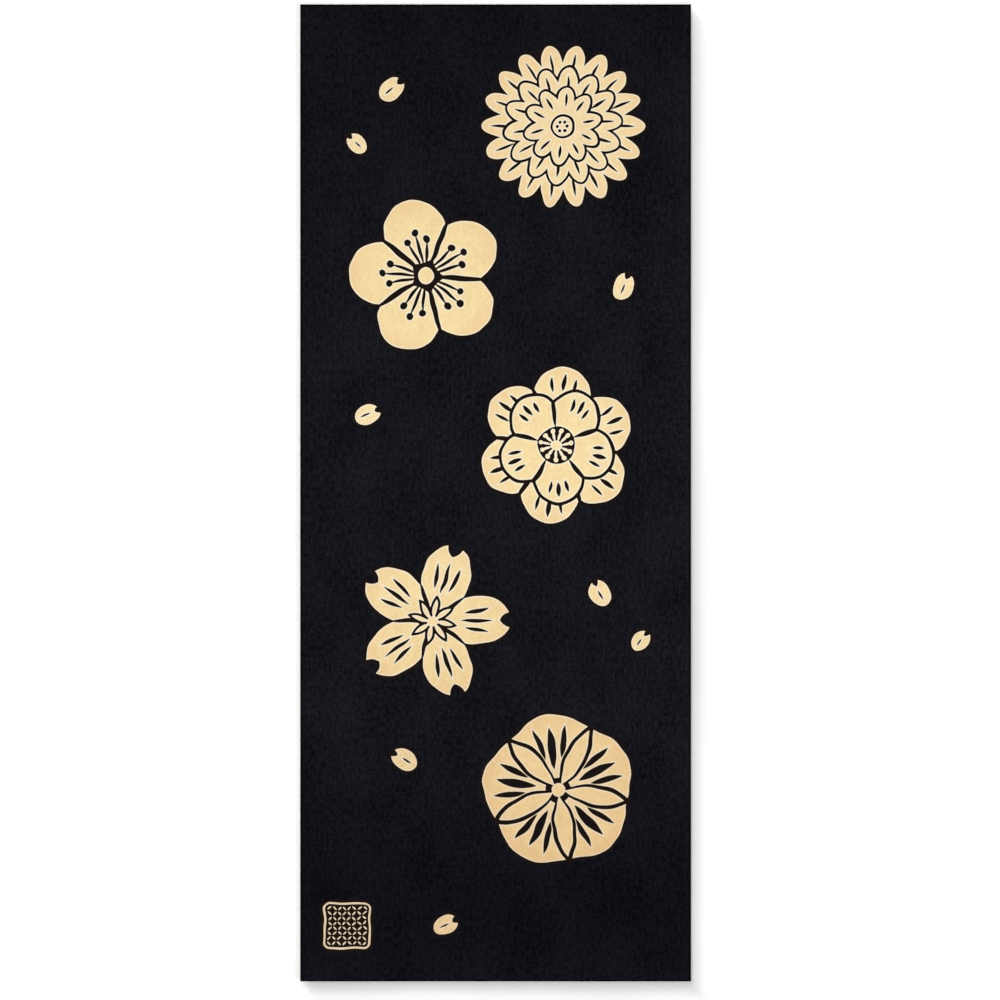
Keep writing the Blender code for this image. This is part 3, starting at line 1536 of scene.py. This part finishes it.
@dataclass(frozen=True)
class DyedCotton(CottonFinish):
    """Plain-woven cotton, piece-dyed close to black."""

    # To the eye it is flat, deep and a little blue, with fine pale flecks along the warp and across it where
    # a yarn is thin, and slow changes where the dye took unevenly; towards the two ends it is darker, which
    # is painted shade
    low_colour: str = "#08090D"
    high_colour: str = "#1A1B21"
    mottle: tuple[float, float, float] = (52.0, 80.0, 3.0)
    mottle_share: float = 0.44
    streak_share: float = 0.25
    grain_range: tuple[float, float] = (0.683, 1.037)
    # Painted shade: the black is darker towards the near and the far end
    near_painted_shade: str = "#CFCFD9"
    near_end: tuple[float, float] = (-180.0, -400.0)
    far_painted_shade: str = "#E4E4EC"
    far_end: tuple[float, float] = (150.0, 450.0)
    # The selvedges and the cut ends take up the most dye, so a thin line along each edge is deeper still
    rim_shade: str = "#303134"
    rim_inset: tuple[float, float] = (1.9, 0.9)
    # Right along the paste's edge the black took a little thinly, which leaves a warm brown line there
    thin_dye: str = "#1D1209"
    thin_dye_share: float = 0.85
    thin_dye_reach: tuple[float, float] = (4.0, 0.8)
    specular: float = 0.02
    bloom: float = 0.03
    bloom_tint: str = "#5C6070"
    name: str = "Black dyed plain-woven cotton"

    def grain(self, tree: bpy.types.NodeTree) -> bpy.types.NodeSocket:
        """Fleck the black with its slubs and streaks, and mottle it.

        Args:
            tree: The material's nodes.

        Returns:
            The grain's strength.
        """
        inputs = {0: self.weave.streaks(tree), 1: self.streak_share, 2: self.weave.slubs(tree)}
        flecks = add_node(tree, "ShaderNodeMath", inputs, operation="MULTIPLY_ADD")
        inputs = {0: self.weave.patches(tree, *self.mottle), 1: self.mottle_share, 2: flecks.outputs[0]}
        return add_node(tree, "ShaderNodeMath", inputs, operation="MULTIPLY_ADD").outputs[0]

    def tints(self, tree: bpy.types.NodeTree) -> Iterator[Tint]:
        """Paint shade on the black towards the ends, deepen it along the edges, and warm it along the
        figures.

        Args:
            tree: The material's nodes.

        Yields:
            Each tint, from the lowest up.
        """
        yield from self.painted_end_shade(tree)
        rim = self.between(tree, Measure.INSET, *self.rim_inset, 1.0)
        yield Tint(rim, self.rim_shade, Blend.DEEPEN)
        thin = self.between(tree, Measure.TO_OUTLINE, *self.thin_dye_reach, self.thin_dye_share)
        yield Tint(thin, self.thin_dye)


@dataclass(frozen=True)
class PaleCotton(CottonFinish):
    """The same cotton where the paste kept the black dye off: its own warm cream."""

    # To the eye it is matt and soft, with faint streaks along the warp, and a little deeper in colour
    # towards the outside of each figure, where some dye water crept in; towards the cloth's ends, the near
    # end most, it is painted a little darker, which is painted shade
    low_colour: str = "#F1DAA5"
    high_colour: str = "#E2C791"
    outer: str = "#E2BD89"
    outer_share: float = 0.55
    outer_range: tuple[float, float] = (0.70, 1.05)
    # Just inside each outline, where the paste lay thickest, a thin line of the cotton stayed cleaner
    clean: str = "#E8DEC8"
    clean_share: float = 0.85
    clean_reach: tuple[float, float] = (2.0, 0.5)
    mottle: tuple[float, float, float] = (11.0, 16.0, 2.0)
    slub_share: float = 1.52
    grain_range: tuple[float, float] = (0.785, 1.735)
    # Painted shade: the cream is darker towards the near end, and a very little towards the far end
    near_painted_shade: str = "#EDE2DB"
    near_end: tuple[float, float] = (40.0, -420.0)
    far_painted_shade: str = "#F9F6F5"
    far_end: tuple[float, float] = (60.0, 400.0)
    relief_depth: float = 0.016
    roughness: float = 0.9
    name: str = "Cream plain-woven cotton"

    def grain(self, tree: bpy.types.NodeTree) -> bpy.types.NodeSocket:
        """Streak the cream with its slubs, and mottle it.

        Args:
            tree: The material's nodes.

        Returns:
            The grain's strength.
        """
        mottle = self.weave.patches(tree, *self.mottle)
        inputs = {0: self.weave.slubs(tree), 1: self.slub_share, 2: mottle}
        return add_node(tree, "ShaderNodeMath", inputs, operation="MULTIPLY_ADD").outputs[0]

    def tints(self, tree: bpy.types.NodeTree) -> Iterator[Tint]:
        """Deepen the cream outwards, clean it along its outlines, and paint shade on it towards the ends.

        Args:
            tree: The material's nodes.

        Yields:
            Each tint, from the lowest up.
        """
        yield Tint(self.between(tree, Measure.SHARE_OUT, *self.outer_range, self.outer_share), self.outer)
        yield Tint(self.between(tree, Measure.TO_OUTLINE, *self.clean_reach, self.clean_share), self.clean)
        yield from self.painted_end_shade(tree)


# The studio


@dataclass(frozen=True)
class SoftLight:
    """A broad light a long way off: where it stands in the sky and how wide it is, in degrees."""

    name: str
    heading: float
    elevation: float
    spread: float
    strength: float

    def hang(self) -> None:
        """Hang the light, shining on the cloth."""
        light = bpy.data.lights.new(self.name, "SUN")
        light.energy = self.strength
        light.angle = math.radians(self.spread)
        heading, elevation = math.radians(self.heading), math.radians(self.elevation)
        level = math.cos(elevation)
        place = Vector((math.cos(heading) * level, math.sin(heading) * level, math.sin(elevation)))
        lamp = add_object(self.name, light)
        lamp.location = place
        lamp.rotation_euler = place.to_track_quat("Z", "Y").to_euler()
        lamp.visible_camera = False


@dataclass(frozen=True)
class Studio:
    """A white floor and a pale sky, with light from low at the far left and a little from the near right."""

    # The floor is matt white paper, pressed smooth and not coated: an even soft white with hardly any shine
    floor_side: float = 400.0
    floor_colour: str = "#F7F7F7"
    floor_roughness: float = 0.8
    floor_specular: float = 0.1
    # How far the floor lies under the cloth's lowest point, in millimetres, so that the two never flicker
    floor_drop: float = 0.05
    sky_colour: str = "#FFFFFF"
    sky_strength: float = 0.60
    horizon_strength: float = 1.02
    # The white haze at the horizon thins out between these heights in the sky, as sines of the angle up
    haze_height: tuple[float, float] = (0.10, 0.34)
    lights: tuple[SoftLight, ...] = (
        SoftLight("low key", heading=127.0, elevation=5.5, spread=9.7, strength=7.10),
        SoftLight("low fill", heading=110.0, elevation=6.7, spread=34.0, strength=4.28),
        SoftLight("counter light", heading=-22.0, elevation=14.0, spread=8.0, strength=1.36),
    )
    lens: float = 100.0
    sensor: float = 36.0
    # One pixel of the photograph covers this much of the cloth, and the picture is this many pixels wide
    pixel_size: float = 0.9218
    picture_side: float = 1000.0
    cloth_middle: tuple[float, float] = (495.6, 492.8)

    def floor(self) -> bpy.types.Object:
        """Lay the floor that the cloth rests on.

        Returns:
            The floor.
        """
        half = self.floor_side / 2
        corners = [(-half, -half, 0), (half, -half, 0), (half, half, 0), (-half, half, 0)]
        mesh = bpy.data.meshes.new("floor")
        mesh.from_pydata(corners, [], [(0, 1, 2, 3)])
        floor = add_object("floor", mesh)
        floor.location.z = -self.floor_drop * MM
        material = bpy.data.materials.new("Matt white paper")
        material.use_nodes = True
        surface = material.node_tree.nodes["Principled BSDF"]
        surface.inputs["Base Color"].default_value = linear_colour(self.floor_colour)
        surface.inputs["Roughness"].default_value = self.floor_roughness
        surface.inputs["Specular IOR Level"].default_value = self.floor_specular
        mesh.materials.append(material)
        return floor

    def sky(self) -> None:
        """Surround the floor with an even pale sky, and with a white haze low down to meet the floor."""
        world = bpy.data.worlds.new("soft light")
        world.use_nodes = True
        tree = world.node_tree
        sky = tree.nodes["Background"]
        sky.inputs["Color"].default_value = linear_colour(self.sky_colour)
        place = add_node(tree, "ShaderNodeTexCoord", {})
        parts = add_node(tree, "ShaderNodeSeparateXYZ", {0: place.outputs["Generated"]})
        low, high = self.haze_height
        inputs = {
            "Value": parts.outputs["Z"],
            "From Min": low,
            "From Max": high,
            "To Min": self.horizon_strength,
            "To Max": self.sky_strength,
        }
        strength = add_node(tree, "ShaderNodeMapRange", inputs, interpolation_type="SMOOTHSTEP")
        tree.links.new(strength.outputs[0], sky.inputs["Strength"])
        bpy.context.scene.world = world

    def light(self) -> None:
        """Hang the lights: those low at the far left make the lifted edges throw a shadow."""
        for light in self.lights:
            light.hang()

    def camera(self) -> None:
        """Hang the camera straight above, where the cloth's middle falls on its place in the picture."""
        data = bpy.data.cameras.new("overhead")
        data.lens = self.lens
        data.sensor_width = self.sensor
        eye = add_object("overhead", data)
        middle_x, middle_y = self.cloth_middle
        half = self.picture_side / 2
        seen_width = self.picture_side * self.pixel_size * MM
        eye.location = (
            (half - middle_x) * self.pixel_size * MM,
            (middle_y - half) * self.pixel_size * MM,
            seen_width * self.lens / self.sensor,
        )
        bpy.context.scene.camera = eye
        bpy.context.scene.view_settings.view_transform = "Standard"


def main() -> None:
    """Build each piece in order, dress it, and say what it holds."""
    logging.basicConfig(level=logging.INFO, format="%(name)s: %(message)s")
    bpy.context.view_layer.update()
    low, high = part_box(CAD_NODE)
    width, length = (float(high[axis] - low[axis]) for axis in (0, 1))
    lie = Lie(width=width, length=length)
    ground = DyedCotton()

    cloth = ClothSheet(width=width, length=length, lie=lie, design=FlowerDesign())
    sheet = cloth.build()
    cloth.dress(ground, PaleCotton())
    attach(sheet, "root")
    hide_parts(CAD_NODE)
    log.info("%s: %d faces", sheet.name, len(sheet.data.polygons))

    ends = YarnEnds(width=width, length=length, lie=lie, thickness=cloth.thickness)
    tips = ends.build()
    ends.dress(ground)
    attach(tips, "root")
    log.info("%s: %d faces", tips.name, len(tips.data.polygons))

    studio = Studio()
    floor = studio.floor()
    studio.sky()
    studio.light()
    studio.camera()
    log.info("studio: floor, lights and camera")


if __name__ == "__main__":
    main()
